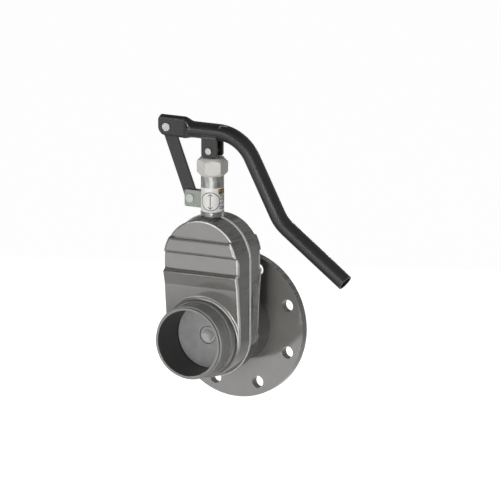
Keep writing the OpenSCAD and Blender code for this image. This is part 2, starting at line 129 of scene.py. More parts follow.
# %% Lamps
def lamp(name, azimuth, elevation, distance, size, energy, diffuse=True):
    """An area lamp that looks at the valve, from an azimuth and elevation in degrees."""
    data = bpy.data.lights.new(name, "AREA")
    data.shape = "RECTANGLE"
    data.size, data.size_y = size
    data.energy = energy
    obj = bpy.data.objects.new(name, data)
    aim_at_valve(obj, math.radians(azimuth), math.radians(elevation), distance)
    obj.visible_diffuse = diffuse
    obj.visible_camera = False


lamp("main_light", 6, -2, 3.0, (1.2, 1.5), 55)
lamp("sheen_panel", -28.4, -12, 1.5, (1.1, 0.64), 6.2, diffuse=False)
lamp("edge_strip", 18, -9.5, 1.1, (0.18, 0.8), 8, diffuse=False)
lamp("brow_strip", -28, 13, 2.2, (1.25, 0.15), 18, diffuse=False)
lamp("back_light", 200, 0, 3.0, (1.0, 0.6), 45)
print(len(bpy.data.lights), "lamps")

# %% [markdown]
# ## Helpers for shader nodes
#
# Cards, floor, world and finishes are all built from shader nodes. One helper feeds an input, one adds a
# node, one does a sum, and one clears the tree of a new material or world. An output knows its own tree,
# so what is worked out from outputs lands beside them.

# %% Node helpers
def feed(socket, value):
    """Wires an input to an output, or sets it to a plain value."""
    if isinstance(value, bpy.types.NodeSocket):
        socket.id_data.links.new(value, socket)
    else:
        socket.default_value = value


def add_node(tree, kind, **inputs):
    """A shader node, with some of its inputs fed by name."""
    made = tree.nodes.new("ShaderNode" + kind)
    for name, value in inputs.items():
        feed(made.inputs[name.replace("_", " ")], value)
    return made


def calc(operation, *values):
    """A Math node's output, from outputs and numbers."""
    outputs = [value for value in values if isinstance(value, bpy.types.NodeSocket)]
    made = add_node(outputs[0].id_data, "Math")
    made.operation = operation
    for socket, value in zip(made.inputs, values):
        feed(socket, value)
    return made.outputs[0]


def empty_tree(owner):
    """The node tree of a new material or world, with nothing in it."""
    owner.use_nodes = True
    owner.node_tree.nodes.clear()
    return owner.node_tree


print("node helpers ready")

# %% [markdown]
# ## Grey cards
#
# Gloss also shows what stands behind and above the valve. Large grey cards there, seen only in
# reflections, keep the sides, the tops and the far edges of the tubes from washing out against the white
# studio.

# %% Grey cards
def grey_card(name, azimuth, elevation, distance, size, tone):
    """A card that only gloss sees: it lights nothing and throws no shadow."""
    bpy.ops.object.select_all(action="DESELECT")
    bpy.ops.mesh.primitive_plane_add(size=1)
    card = bpy.context.object
    card.name = name
    card.scale = (*size, 1.0)
    for collection in card.users_collection:
        collection.objects.unlink(card)
    aim_at_valve(card, math.radians(azimuth), math.radians(elevation), distance)
    for ray in ("camera", "diffuse", "shadow", "transmission", "volume_scatter"):
        setattr(card, "visible_" + ray, False)
    paint = bpy.data.materials.new(name)
    tree = empty_tree(paint)
    glow = add_node(tree, "Emission", Strength=tone)
    add_node(tree, "OutputMaterial", Surface=glow.outputs[0])
    card.data.materials.append(paint)


grey_card("rear_card", 180, -14, 1.6, (3.2, 1.0), 0.75)
grey_card("high_card", 160, 32, 1.75, (2.2, 1.9), 0.6)
grey_card("left_card", -135, 25, 1.7, (2.4, 2.2), 0.2)
grey_card("top_card", -120, 62, 1.6, (3.0, 3.0), 0.28)

# %% [markdown]
# ## World
#
# The surroundings are white for the camera and for reflections, so metal shows a bright studio, but they
# light the valve only softly, and less from above than from the sides.

# %% World
AMBIENT = 0.42
AMBIENT_TOP = 0.1
SKY_LOW, SKY_HIGH = -0.1, 0.7
WHITE = (1, 1, 1, 1)


def mix_by_ray(tree, plain, seen, share, output):
    """Shows a share of one shader to camera, glossy and transmission rays, and the other to the rest."""
    path = add_node(tree, "LightPath")
    direct = path.outputs["Is Camera Ray"]
    for kind in ("Is Glossy Ray", "Is Transmission Ray"):
        direct = calc("MAXIMUM", direct, path.outputs[kind])
    mix = add_node(tree, "MixShader")
    feed(mix.inputs["Fac"], calc("MULTIPLY", direct, share))
    feed(mix.inputs[1], plain.outputs[0])
    feed(mix.inputs[2], seen.outputs[0])
    add_node(tree, output, Surface=mix.outputs[0])


world = bpy.data.worlds.new("studio")
bpy.context.scene.world = world
tree = empty_tree(world)
backdrop = add_node(tree, "Background", Color=WHITE, Strength=1.0)
direction = add_node(tree, "SeparateXYZ", Vector=add_node(tree, "TexCoord").outputs["Generated"])
by_height = add_node(tree, "MapRange", Value=direction.outputs["Z"], From_Min=SKY_LOW, From_Max=SKY_HIGH,
                     To_Min=AMBIENT, To_Max=AMBIENT_TOP)
ambient = add_node(tree, "Background", Color=WHITE, Strength=by_height.outputs["Result"])
mix_by_ray(tree, ambient, backdrop, 1.0, "OutputWorld")
print("ambient light", AMBIENT, "from the side,", AMBIENT_TOP, "from above")

# %% [markdown]
# ## Floor
#
# The floor glows white where it is seen, and keeps a share of plain matt paint, so that the valve's shadow
# still falls on it. The valve is fixed to pipework and not to the floor, so the floor lies well below it.

# %% Floor
FLOOR_SIZE = 60
FLOOR_DROP = 0.45
FLOOR_GLOW = 1.2
FLOOR_SHARE = 0.8
FLOOR_PAINT = (0.85, 0.85, 0.85, 1)

bpy.ops.object.select_all(action="DESELECT")
bpy.ops.mesh.primitive_plane_add(size=FLOOR_SIZE, location=(0, 0, cad_low.z - FLOOR_DROP))
floor = bpy.context.object
floor.name = "floor"
floor_paint = bpy.data.materials.new("pale_floor")
tree = empty_tree(floor_paint)
matt = add_node(tree, "BsdfDiffuse", Color=FLOOR_PAINT)
glow = add_node(tree, "Emission", Strength=FLOOR_GLOW)
mix_by_ray(tree, matt, glow, FLOOR_SHARE, "OutputMaterial")
floor.data.materials.append(floor_paint)
print("floor at", round(cad_low.z - FLOOR_DROP, 3))

# %% [markdown]
# ## Helpers for patterns
#
# Each finish is one Principled shader. Even values, such as its specular level, are typed into the
# shader's own sockets. What varies over the real surface comes from patterns on the object's coordinates,
# which stay put when the valve moves. These helpers give a smooth change, a place, noise and blended colours.

# %% Pattern helpers
def remap(value, low, high, to_low=0.0, to_high=1.0):
    """A clamped, smooth change from one range to another."""
    made = add_node(value.id_data, "MapRange", Value=value, From_Min=low, From_Max=high, To_Min=to_low,
                    To_Max=to_high)
    made.interpolation_type = "SMOOTHSTEP"
    return made.outputs["Result"]


def object_place(tree, stretch=(1, 1, 1), centre=(0, 0, 0)):
    """Object coordinates, moved to a centre and stretched."""
    place = add_node(tree, "TexCoord").outputs["Object"]
    start = [-c * s for c, s in zip(centre, stretch)]
    return add_node(tree, "Mapping", Vector=place, Location=start, Scale=stretch).outputs["Vector"]


def noise(place, scale, detail=3.0, rough=0.55):
    """Cloudy noise from about 0.3 to 0.7."""
    made = add_node(place.id_data, "TexNoise", Vector=place, Scale=scale, Detail=detail, Roughness=rough)
    return made.outputs["Fac"]


def blend_color(share, a, b, how="MIX"):
    """Lays one colour or colour output over another, by a share."""
    made = add_node(share.id_data, "Mix", Factor=share)
    made.data_type = "RGBA"
    made.blend_type = how
    for socket, value in ((made.inputs[6], a), (made.inputs[7], b)):
        feed(socket, (*value, 1) if isinstance(value, tuple) else value)
    return made.outputs[2]


print("pattern helpers ready")

# %% [markdown]
# ## The general finish
#
# One recipe serves every finish. A moulded body, a plated tube and a powder coated lever differ only in
# numbers: how wide the clouds in the colour are, how rough the skin is, which way it was drawn or turned,
# and what shows where an edge has been rubbed. The Bevel node rounds the shading of every sharp edge, as a
# mould or paint does. Where its normal differs from the surface's own lies an edge, which is what handling
# rubs first.

# %% Rubbed edges
EDGE_RANGE = (0.985, 0.8)
PATCH_RANGE = (0.4, 0.6)
PATCH_SIZE = 6 * MM


def rub_edges(tree, place, soft_edge, paint, worn, wear):
    """Paints patches of a worn colour where the softened normal leaves the surface's own."""
    facing = add_node(tree, "VectorMath")
    facing.operation = "DOT_PRODUCT"
    for socket, node in zip(facing.inputs, (soft_edge, add_node(tree, "NewGeometry"))):
        feed(socket, node.outputs["Normal"])
    rubbed = remap(facing.outputs["Value"], *EDGE_RANGE, 0.0, wear)
    patchy = remap(noise(place, 1 / PATCH_SIZE), *PATCH_RANGE)
    return blend_color(calc("MULTIPLY", rubbed, patchy), paint, worn)


print("worn patches", PATCH_SIZE / MM, "mm wide")

# %% [markdown]
# The finish itself joins them all: clouds in the colour, worn edges, painted shade in inner corners, a
# roughness that varies with the clouds, and a fine relief.

# %% General finish
CLOUD_RANGE = (0.35, 0.65)
GLOSS_RANGE = (0.3, 0.7)
CORNER_SHADE_REACH = 2.5 * MM
CORNER_SHADE_RANGE = (0.3, 0.62)
CORNER_SHADE_TONE = 0.25
EDGE_SAMPLES, CORNER_SAMPLES = 10, 8


def finish(name, color, roughness, metallic=0.0, level=0.4, cloud=0.08, cloud_size=25, uneven=0.08,
           relief=0.02, relief_size=1.2, stretch=(1, 1, 1), edge=0.6, worn=None, wear=0.4, corner_shade=0.0):
    """A Principled finish. Sizes, relief and edge are in millimetres.

    worn is the colour of rubbed edges; the corner argument sets how much painted shade darkens an inner
    corner.
    """
    material = bpy.data.materials.new(name)
    material.use_nodes = True
    tree = material.node_tree
    skin = tree.nodes["Principled BSDF"]
    skin.inputs["Metallic"].default_value = metallic
    skin.inputs["Specular IOR Level"].default_value = level
    place = object_place(tree, stretch)
    clouds = noise(place, 1 / (cloud_size * MM))
    grain = noise(place, 1 / (relief_size * MM), detail=4.0, rough=0.65)
    dark, light = (tuple(c * share for c in color) for share in (1 - cloud, 1 + cloud))
    paint = blend_color(remap(clouds, *CLOUD_RANGE), dark, light)
    soft_edge = add_node(tree, "Bevel", Radius=edge * MM)
    soft_edge.samples = EDGE_SAMPLES
    if worn:
        paint = rub_edges(tree, place, soft_edge, paint, worn, wear)
    # Painted shade: ambient occlusion darkens the colour in inner corners.
    if corner_shade:
        corner = add_node(tree, "AmbientOcclusion", Distance=CORNER_SHADE_REACH)
        corner.samples = CORNER_SAMPLES
        corner_shade_share = remap(corner.outputs["AO"], *CORNER_SHADE_RANGE, corner_shade, 0.0)
        paint = blend_color(corner_shade_share, paint, tuple(c * CORNER_SHADE_TONE for c in color))
    gloss = remap(clouds, *GLOSS_RANGE, roughness - uneven, roughness + uneven)
    fine = calc("MULTIPLY", calc("SUBTRACT", grain, 0.5), uneven)
    bump = add_node(tree, "Bump", Strength=1.0, Distance=relief * MM, Height=grain,
                    Normal=soft_edge.outputs["Normal"])
    feed(skin.inputs["Base Color"], paint)
    feed(skin.inputs["Roughness"], calc("ADD", gloss, fine))
    feed(skin.inputs["Normal"], bump.outputs["Normal"])
    return material


def lay_over(material, share, color, how="MIX"):
    """Lays a colour over what a finish already shows, by a share."""
    socket = material.node_tree.nodes["Principled BSDF"].inputs["Base Color"]
    feed(socket, blend_color(share, socket.links[0].from_socket, color, how))


print("recipe for finishes ready")

# %% [markdown]
# ## Moulded plastics
#
# The body and flange are glossy grey PVC from polished moulds, and their corners rub a little paler. The
# spigot and the closing plate are the same plastic with a duller skin, and the gland nut is pale nylon.

# %% Plastics
PLASTICS = {
    "body_grey": dict(
        color=(0.182, 0.178, 0.168), roughness=0.12, level=0.5, cloud=0.03, cloud_size=30, uneven=0.02,
        relief=0.004, relief_size=2.5, edge=0.6, worn=(0.3, 0.3, 0.29), wear=0.3, corner_shade=0.8),
    "spigot_grey": dict(
        color=(0.26, 0.258, 0.249), roughness=0.42, level=0.22, cloud=0.05, cloud_size=20, uneven=0.04,
        relief=0.004, relief_size=1.5, edge=0.15, worn=(0.25, 0.25, 0.24), wear=0.3),
    "plate_grey": dict(
        color=(0.265, 0.265, 0.265), roughness=0.42, level=0.3, cloud=0.06, cloud_size=12, uneven=0.06,
        relief=0.008, relief_size=5, edge=0.5, worn=(0.4, 0.4, 0.4), wear=0.4),
    "nut_grey": dict(
        color=(0.71, 0.695, 0.655), roughness=0.48, level=0.25, cloud=0.04, cloud_size=14, uneven=0.06,
        relief=0.02, relief_size=1.0, edge=1.2, worn=(0.66, 0.65, 0.62), wear=0.3),
    "bush_plastic": dict(
        color=(0.7, 0.69, 0.65), roughness=0.5, cloud=0.04, cloud_size=10, relief=0.01, edge=0.4),
    "seal_rubber": dict(
        color=(0.02, 0.02, 0.02), roughness=0.62, level=0.3, cloud=0.2, cloud_size=4, relief=0.03,
        relief_size=0.6, edge=0.4),
}
FINISHES = {name: finish(name, **look) for name, look in PLASTICS.items()}
print(len(FINISHES), "plastic finishes")

# %% [markdown]
# ## Crisp marks
#
# A mark on a surface, from a line of print to a dark groove, comes from a distance that is cut off at half
# a line's width. Small helpers draw a stroke and a box, join several shapes, and keep only where they
# overlap.

# %% Strokes
EDGE_BLUR = 0.12 * MM


def stroke(distance, half_width):
    """Ink where a distance is under half a line's width."""
    return remap(calc("ABSOLUTE", distance), half_width + EDGE_BLUR, half_width - EDGE_BLUR)


def either(first, *others):
    """Ink where any of several shapes has it."""
    for ink in others:
        first = calc("MAXIMUM", first, ink)
    return first


def overlap(first, *others):
    """Ink where all of several shapes have it."""
    for ink in others:
        first = calc("MULTIPLY", first, ink)
    return first


def block(along, up, half_along, half_up):
    """Ink inside a box."""
    return overlap(stroke(along, half_along), stroke(up, half_up))


print("lines blur over", EDGE_BLUR / MM, "mm")

# %% [markdown]
# ## Marks that follow the body
#
# Some marks follow the body's outline: a flat slab with a round top and foot. How far a point lies from
# the slab's middle line says whether it is on the rim, and its distance from the parting plane says whether
# it is near the lip or near a face. Small helpers take a place apart and measure with it.

# %% Distances
def split(vector):
    """The X, Y and Z of a vector."""
    return add_node(vector.id_data, "SeparateXYZ", Vector=vector).outputs[:]


def diagonal(a, b):
    """The distance that two offsets at right angles make together."""
    return calc("SQRT", calc("ADD", calc("MULTIPLY", a, a), calc("MULTIPLY", b, b)))


def gap_to(value, target):
    """How far a value is from a target, never below zero."""
    return calc("ABSOLUTE", calc("SUBTRACT", value, target))


print("distance helpers ready")

# %% [markdown]
# The shells' own boxes give the outline its measures.

# %% The body's outline
front_low, front_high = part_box("front_half_shell")
_, rear_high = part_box("rear_half_shell")
LIP_R = (front_high.x - front_low.x) / 2
FACE_R = LIP_R - 3.2 * MM
ARCH_Z = front_high.z - LIP_R
SHELL_Y = (front_low.y + rear_high.y) / 2


def outline_distance(tree):
    """How far a point is from the body's middle line, and how far from its parting plane."""
    right, back, up = split(object_place(tree))
    straight = calc("MINIMUM", calc("MAXIMUM", up, 0.0), ARCH_Z)
    return diagonal(right, calc("SUBTRACT", up, straight)), gap_to(back, SHELL_Y)


print("lip radius", round(LIP_R / MM, 1), "arch axis at", round(ARCH_Z / MM, 1))

# %% [markdown]
# Drag marks are streaks that run along Y, the way each half leaves its mould, and their light and dark
# reflections are painted into the colour. They show on the sides and over the arch, where the draft is
# small, and not on the faces. Noise that is stretched along Y gives them, and the surface's own normal
# keeps them on the sides.

# %% Drag marks
DRAG_WIDTH = 3.2 * MM
DRAG_STRETCH = 0.05
DRAG_RANGE = (0.38, 0.62)
DRAG_REFLECTION_DARK, DRAG_REFLECTION_PALE = (0.75, 0.75, 0.75), (1.3, 1.3, 1.3)
SIDE_RANGE, TOP_RANGE = (0.6, 0.1), (0.05, 0.5)
SIDE_SHARE = 0.12


def add_drag_mark_reflections(material):
    """Painted reflections of the drag marks: streaks along Y, on surfaces that face away from Y, most over
    the top.
    """
    tree = material.node_tree
    place = object_place(tree, (1, DRAG_STRETCH, 1))
    streaks = remap(noise(place, 1 / DRAG_WIDTH, detail=2.0), *DRAG_RANGE)
    _, faces_back, faces_up = split(add_node(tree, "NewGeometry").outputs["Normal"])
    on_sides = remap(calc("ABSOLUTE", faces_back), *SIDE_RANGE)
    on_arch = remap(faces_up, *TOP_RANGE, SIDE_SHARE, 1.0)
    out, _ = outline_distance(tree)
    on_shell = remap(out, FACE_R - 3 * MM, FACE_R - MM)
    tone = blend_color(streaks, DRAG_REFLECTION_DARK, DRAG_REFLECTION_PALE)
    # Painted reflections: light and dark streaks multiplied into the colour.
    lay_over(material, overlap(on_sides, on_arch, on_shell), tone, "MULTIPLY")


add_drag_mark_reflections(FINISHES["body_grey"])
print("drag marks", DRAG_WIDTH / MM, "mm wide")

# %% [markdown]
# The front and back faces end in a soft, wide rounding, and so does the crest of each ridge, while every
# other edge is fine. The Bevel node's radius therefore grows near the outline of a face and along the crest.

# %% Soft edges
WIDE_EDGE, FINE_EDGE, CREST_EDGE = 2.6 * MM, 0.5 * MM, 1.8 * MM
FACE_FROM, FACE_FULL = 18 * MM, 24 * MM
FRONT_FROM, FRONT_FULL = 32 * MM, 34 * MM
CREST_Z = 98.3 * MM
CREST_NEAR, CREST_OVER = 3.5 * MM, 4 * MM
body_finish = FINISHES["body_grey"]
tree = body_finish.node_tree
out, off_parting = outline_distance(tree)
right, _, height = split(object_place(tree))
near_rim = overlap(remap(off_parting, FACE_FROM, FACE_FULL), remap(out, FACE_R - 5 * MM, FACE_R - 4 * MM),
                   remap(out, LIP_R + 2 * MM, LIP_R + MM))
on_front = remap(off_parting, FRONT_FROM, FRONT_FULL)
from_crest = gap_to(height, CREST_Z)
at_crest = overlap(remap(from_crest, CREST_OVER, CREST_NEAR), on_front)
radius = calc("MULTIPLY_ADD", near_rim, WIDE_EDGE - FINE_EDGE, FINE_EDGE)
radius = calc("MAXIMUM", radius, calc("MULTIPLY", at_crest, CREST_EDGE))
for node in tree.nodes:
    if node.bl_idname == "ShaderNodeBevel":
        feed(node.inputs["Radius"], radius)
print("crest rounded over", 2 * CREST_NEAR / MM, "mm")

# %% [markdown]
# A painted highlight runs as a pale line along the rim of each face and round the foot of the shoulder,
# strongest on the lever's side and fading towards the left and the foot.

# %% Painted highlight lines
RIM_HIGHLIGHT_PAINT = (0.85, 0.85, 0.83)
RIM_LINE_R, RIM_LINE_HALF = FACE_R - 0.8 * MM, 1.0 * MM
RIM_FROM, RIM_FULL = 26 * MM, 28 * MM
FOOT_LINE_R, FOOT_LINE_HALF = 61.3 * MM, 0.6 * MM
FOOT_FROM, FOOT_FULL = 32.4 * MM, 33 * MM
SHELL_DEPTH = 45 * MM
HIGHLIGHT_LEFT, HIGHLIGHT_RIGHT = -30 * MM, 15 * MM
HIGHLIGHT_LOW, HIGHLIGHT_HIGH = -25 * MM, 10 * MM
HIGHLIGHT_MOST, HIGHLIGHT_LEAST = 0.95, 0.1
rim_highlight = overlap(stroke(calc("SUBTRACT", out, RIM_LINE_R), RIM_LINE_HALF),
                   remap(off_parting, RIM_FROM, RIM_FULL))
from_bore = calc("SUBTRACT", diagonal(right, height), FOOT_LINE_R)
foot_highlight = overlap(stroke(from_bore, FOOT_LINE_HALF), remap(off_parting, FOOT_FROM, FOOT_FULL))
on_shell = remap(off_parting, SHELL_DEPTH + MM, SHELL_DEPTH)
highlight_side = overlap(remap(right, HIGHLIGHT_LEFT, HIGHLIGHT_RIGHT, 0.0, HIGHLIGHT_MOST),
                   remap(height, HIGHLIGHT_LOW, HIGHLIGHT_HIGH, HIGHLIGHT_LEAST, 1.0))
# Painted highlight: pale lines along the face rims and round the shoulder's foot.
lay_over(body_finish, overlap(either(rim_highlight, foot_highlight), on_shell, highlight_side), RIM_HIGHLIGHT_PAINT)
print("rubbed lines", 2 * RIM_LINE_HALF / MM, "and", 2 * FOOT_LINE_HALF / MM, "mm wide")

# %% [markdown]
# The parting lip between the two halves carries a painted highlight, a pale line along its rim. Three dark
# lines of painted shade cross each face, in the inner corners above the crest and on both sides of the
# band.

# %% Lip highlight and groove shade
LIP_HIGHLIGHT_PAINT = (0.8, 0.8, 0.78)
LIP_HIGHLIGHT_SHARE = 0.95
GROOVE_SHADE_PAINT = (0.04, 0.04, 0.038)
GROOVE_SHADE_SHARE = 0.75
GROOVES = ((103.6 * MM, 0.9 * MM), (128.3 * MM, 1.3 * MM), (153.1 * MM, 0.7 * MM))
on_lip = overlap(remap(out, LIP_R - 1.0 * MM, LIP_R - 0.7 * MM), remap(off_parting, 4 * MM, 3 * MM))
# Painted highlight: the lip is paled in the colour.
lay_over(body_finish, overlap(on_lip, LIP_HIGHLIGHT_SHARE), LIP_HIGHLIGHT_PAINT)
# Painted shade: the three groove lines are darkened in the colour.
grooves = either(*(stroke(calc("SUBTRACT", height, groove_z), half) for groove_z, half in GROOVES))
lay_over(body_finish, overlap(grooves, on_front, GROOVE_SHADE_SHARE), GROOVE_SHADE_PAINT)
print(len(GROOVES), "grooves")

# %% [markdown]
# ## Metals and coatings
#
# The bonnet tube and the bracket are zinc plated, with a cloudy, slightly dull skin. The pins are bright
# zinc, and the stem is ground steel with fine marks round it. The lever, link and clevis carry satin black
# powder coat, which is smooth and even, and turns a little grey where it is seen at a low angle.

# %% Metals
METALS = {
    "zinc_tube": dict(
        color=(0.225, 0.23, 0.22), roughness=0.39, metallic=0.35, level=0.2, cloud=0.25, cloud_size=5,
        relief=0.02, relief_size=0.8, stretch=(1, 1, 0.35), edge=0.4, worn=(0.5, 0.5, 0.5), wear=0.4),
    "bracket_zinc": dict(
        color=(0.24, 0.26, 0.23), roughness=0.42, metallic=0.15, level=0.2, cloud=0.08, cloud_size=9,
        relief=0.02, relief_size=1.0, edge=0.5, worn=(0.5, 0.5, 0.48), wear=0.5),
    "pin_zinc": dict(
        color=(0.5, 0.515, 0.49), roughness=0.5, metallic=0.1, level=0.2, cloud=0.06, cloud_size=5,
        relief=0.03, relief_size=0.9, edge=0.7, worn=(0.75, 0.75, 0.73), wear=0.4),
    "stem_steel": dict(
        color=(0.5, 0.5, 0.5), roughness=0.25, metallic=1.0, cloud=0.06, cloud_size=6, uneven=0.06,
        relief=0.008, relief_size=0.5, stretch=(0.2, 0.2, 1.6), edge=0.3),
    "follower_brass": dict(
        color=(0.56, 0.42, 0.2), roughness=0.3, metallic=1.0, cloud=0.08, cloud_size=5, relief=0.01,
        relief_size=0.5, stretch=(0.3, 0.3, 2), edge=0.4),
}


def black_coat(name):
    """Satin black powder coat, with a faint grey sheen at a low angle."""
    coat = finish(name, (0.017, 0.017, 0.0166), 0.34, level=0.2, cloud=0.1, cloud_size=18, uneven=0.02,
                  relief=0.002, relief_size=1.6, edge=0.3)
    skin = coat.node_tree.nodes["Principled BSDF"]
    skin.inputs["Sheen Weight"].default_value = 0.12
    skin.inputs["Sheen Roughness"].default_value = 0.5
    return coat


for name, look in METALS.items():
    FINISHES[name] = finish(name, **look)
FINISHES["lever_black"] = black_coat("lever_black")
print(len(FINISHES), "finishes")

# %% [markdown]
# ## The label
#
# A printed film is wrapped round the bonnet tube. Its print has no words: a thin ring with a double-headed
# arrow, which stands for the stem's up and down travel, rows of fine rules, and one ochre patch. The print
# is drawn in the film's own flat measures, how far round and how high, so that it wraps as a real label
# does, and it stays crisp at any size.

# %% Places on the label
stem_low, stem_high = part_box("stem")
label_low, label_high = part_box("label_sleeve")
MID_Y = (stem_low.y + stem_high.y) / 2
LABEL_R = (label_high.x - label_low.x) / 2
LABEL_Z = (label_low.z + label_high.z) / 2


def label_place(tree, angle, height):
    """How far round the label and how high a point is, from a spot at an angle and height on it."""
    right, back, up = split(object_place(tree, centre=(0, MID_Y, LABEL_Z)))
    round_it = calc("ARCTAN2", right, calc("MULTIPLY", back, -1.0))
    along = calc("MULTIPLY", calc("SUBTRACT", round_it, angle), LABEL_R)
    return along, calc("SUBTRACT", up, height)


print("label", round(2 * LABEL_R / MM, 1), "mm across")

# %% [markdown]
# The ring is drawn where the distance from its centre is its radius. The arrow is a thin upright box and a
# slanting barb. Distances without a sign mirror the barb to both sides and both ends.

# %% Ring and arrow
RING_ANGLE, RING_Z = math.radians(17.3), -2.1 * MM
RING_R = 14.0 * MM
INK_LINE = 1.2 * MM
BARB_HALF = 0.6 * INK_LINE
SHAFT_HALF = RING_R - 3.2 * MM
TIP_UP = RING_R - 2.4 * MM
BARB_DROP = 3.4 * MM
film = finish("label_white", (0.87, 0.86, 0.83), 0.55, level=0.25, cloud=0.03, cloud_size=8, uneven=0.05,
              relief=0.01, relief_size=2.0, edge=0.1)
tree = film.node_tree
along, up = label_place(tree, RING_ANGLE, RING_Z)
ring = stroke(calc("SUBTRACT", diagonal(along, up), RING_R), INK_LINE / 2)
shaft = block(along, up, INK_LINE / 2, SHAFT_HALF)
from_tip = calc("SUBTRACT", TIP_UP, calc("ABSOLUTE", up))
barb = stroke(calc("SUBTRACT", calc("ABSOLUTE", along), from_tip), BARB_HALF)
arrow = either(shaft, overlap(barb, stroke(from_tip, BARB_DROP)))
print("ring", 2 * RING_R / MM, "mm across")

# %% [markdown]
# Further round sit the fine rules, in a box and broken up by noise as worn print is, and above them the
# cloudy ochre patch. All of it is then laid over the bare film, the dark ink first.

# %% Rules, patch and print
RULES_ANGLE, RULES_Z = RING_ANGLE + math.radians(74), -2.5 * MM
RULES_HALF = (7.5 * MM, 12.5 * MM)
RULE_PITCH = 2.4 * MM
RULE_BLUR = 0.1 * MM
RAGGED_RANGE = (0.42, 0.46)
BREAKS_PER_METRE = 60
PATCH_ANGLE, PATCH_Z = RING_ANGLE + math.radians(78), 13.2 * MM
PATCH_HALF = (10.5 * MM, 4.2 * MM)
PATCH_CLOUD, PATCH_TONES = 3.5 * MM, (0.44, 0.56)
INK, OCHRE, OCHRE_SHADE = (0.045, 0.045, 0.045), (0.42, 0.27, 0.06), (0.06, 0.045, 0.02)
along, up = label_place(tree, RULES_ANGLE, RULES_Z)
row = calc("SUBTRACT", calc("PINGPONG", up, RULE_PITCH / 2), RULE_PITCH / 4)
ragged = noise(object_place(tree, (BREAKS_PER_METRE, BREAKS_PER_METRE, 1 / RULE_PITCH)), 1.0, detail=1.0)
rules = overlap(block(along, up, *RULES_HALF), remap(row, -RULE_BLUR, RULE_BLUR),
                remap(ragged, *RAGGED_RANGE))
patch = block(*label_place(tree, PATCH_ANGLE, PATCH_Z), *PATCH_HALF)
patch_tone = remap(noise(object_place(tree), 1 / PATCH_CLOUD), *PATCH_TONES)
lay_over(film, either(ring, arrow, rules), INK)
lay_over(film, patch, blend_color(patch_tone, OCHRE_SHADE, OCHRE))
FINISHES["label_white"] = film
print("rules every", RULE_PITCH / MM, "mm")

# %% [markdown]
# ## The bore
#
# The inside of the spigot is the core side of its mould. Shade is painted into its colour, so it is
# darker than the outside.

# %% Bore
BORE_R = 50.8 * MM
BORE_SHADE_PAINT = (0.035, 0.035, 0.035)
BORE_SHADE_SHARE = 0.85
spigot_low, spigot_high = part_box("threaded_spigot")
right, _, up = split(object_place(FINISHES["spigot_grey"].node_tree))
# Painted shade: the bore's wall is darkened in the colour.
inside = remap(diagonal(right, up), BORE_R + 0.3 * MM, BORE_R + 0.1 * MM, 0.0, BORE_SHADE_SHARE)
lay_over(FINISHES["spigot_grey"], inside, BORE_SHADE_PAINT)
print("bore", round(2 * BORE_R / MM, 1), "mm")

# %% [markdown]
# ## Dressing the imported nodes
#
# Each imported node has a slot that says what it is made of, and takes the finish of that name. Their meshes
# stay as they are.

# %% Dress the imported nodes
for part in frame["record"]["subparts"]:
    node = frame["nodes"][part["node"]]
    node.data.materials.clear()
    node.data.materials.append(FINISHES[part["material_slot"]])
print(len(frame["nodes"]), "nodes dressed")

# %% [markdown]
# ## Modelling by hand
#
# The pieces below start as a circle or a block and are shaped with the same operators as by hand. An
# operator acts on all that is selected, so each piece starts from an empty selection, and its vertices,
# edges or faces are then picked by where they are.

# %% Selecting and picking
TINY = 0.001 * MM


def start_fresh():
    """Leaves edit mode and deselects everything."""
    if bpy.context.object and bpy.context.object.mode != "OBJECT":
        bpy.ops.object.mode_set(mode="OBJECT")
    bpy.ops.object.select_all(action="DESELECT")


def take_up(piece):
    """Makes a piece the only one that operators act on."""
    start_fresh()
    piece.select_set(True)
    bpy.context.view_layer.objects.active = piece


def edit_all():
    """Goes into edit mode with everything selected."""
    bpy.ops.object.mode_set(mode="EDIT")
    bpy.ops.mesh.select_all(action="SELECT")


def leave_edit():
    """Goes back to object mode."""
    bpy.ops.object.mode_set(mode="OBJECT")


def pick_vertices(piece, test):
    """In edit mode, selects the vertices whose place passes a test."""
    mesh = bmesh.from_edit_mesh(piece.data)
    for part in (*mesh.faces, *mesh.edges, *mesh.verts):
        part.select = False
    for vertex in mesh.verts:
        vertex.select = test(vertex.co)
    mesh.select_flush(True)
    bmesh.update_edit_mesh(piece.data)


def settle():
    """Writes the place, turn and scale of the selected piece into its mesh."""
    bpy.ops.object.transform_apply(location=True, rotation=True, scale=True)


print("vertices merge within", TINY / MM, "mm")

# %% [markdown]
# Modifiers are applied as soon as they are added, as a boolean that cuts a tool's shape out of a piece. The
# tools are blocks, and rods that cross the lever's plane.

# %% Modifiers and cutting tools
THROUGH = 40 * MM


def add_and_apply(piece, kind, **settings):
    """Adds one modifier with its settings, and applies it."""
    take_up(piece)
    bpy.ops.object.modifier_add(type=kind)
    modifier = piece.modifiers[-1]
    for name, value in settings.items():
        setattr(modifier, name, value)
    bpy.ops.object.modifier_apply(modifier=modifier.name)


def combine(piece, operation, *tools):
    """Cuts each tool's shape out of a piece, or keeps what lies in it, and throws the tool away."""
    for tool in tools:
        add_and_apply(piece, "BOOLEAN", operation=operation, solver="EXACT", object=tool)
        bpy.data.objects.remove(tool)


def fresh_block(low, high):
    """A closed block between two corners, with its place in its mesh."""
    start_fresh()
    bpy.ops.mesh.primitive_cube_add(size=1, location=[(a + b) / 2 for a, b in zip(low, high)])
    bpy.context.object.scale = [b - a for a, b in zip(low, high)]
    settle()
    return bpy.context.object


def cross_rod(x, z, radius, sides=64, length=THROUGH):
    """A closed rod along Y through a point of the lever's plane."""
    start_fresh()
    bpy.ops.mesh.primitive_cylinder_add(vertices=sides, radius=radius, depth=length,
                                        location=(x, MID_Y, z), rotation=(math.pi / 2, 0, 0))
    settle()
    return bpy.context.object


print("rods", THROUGH / MM, "mm long")

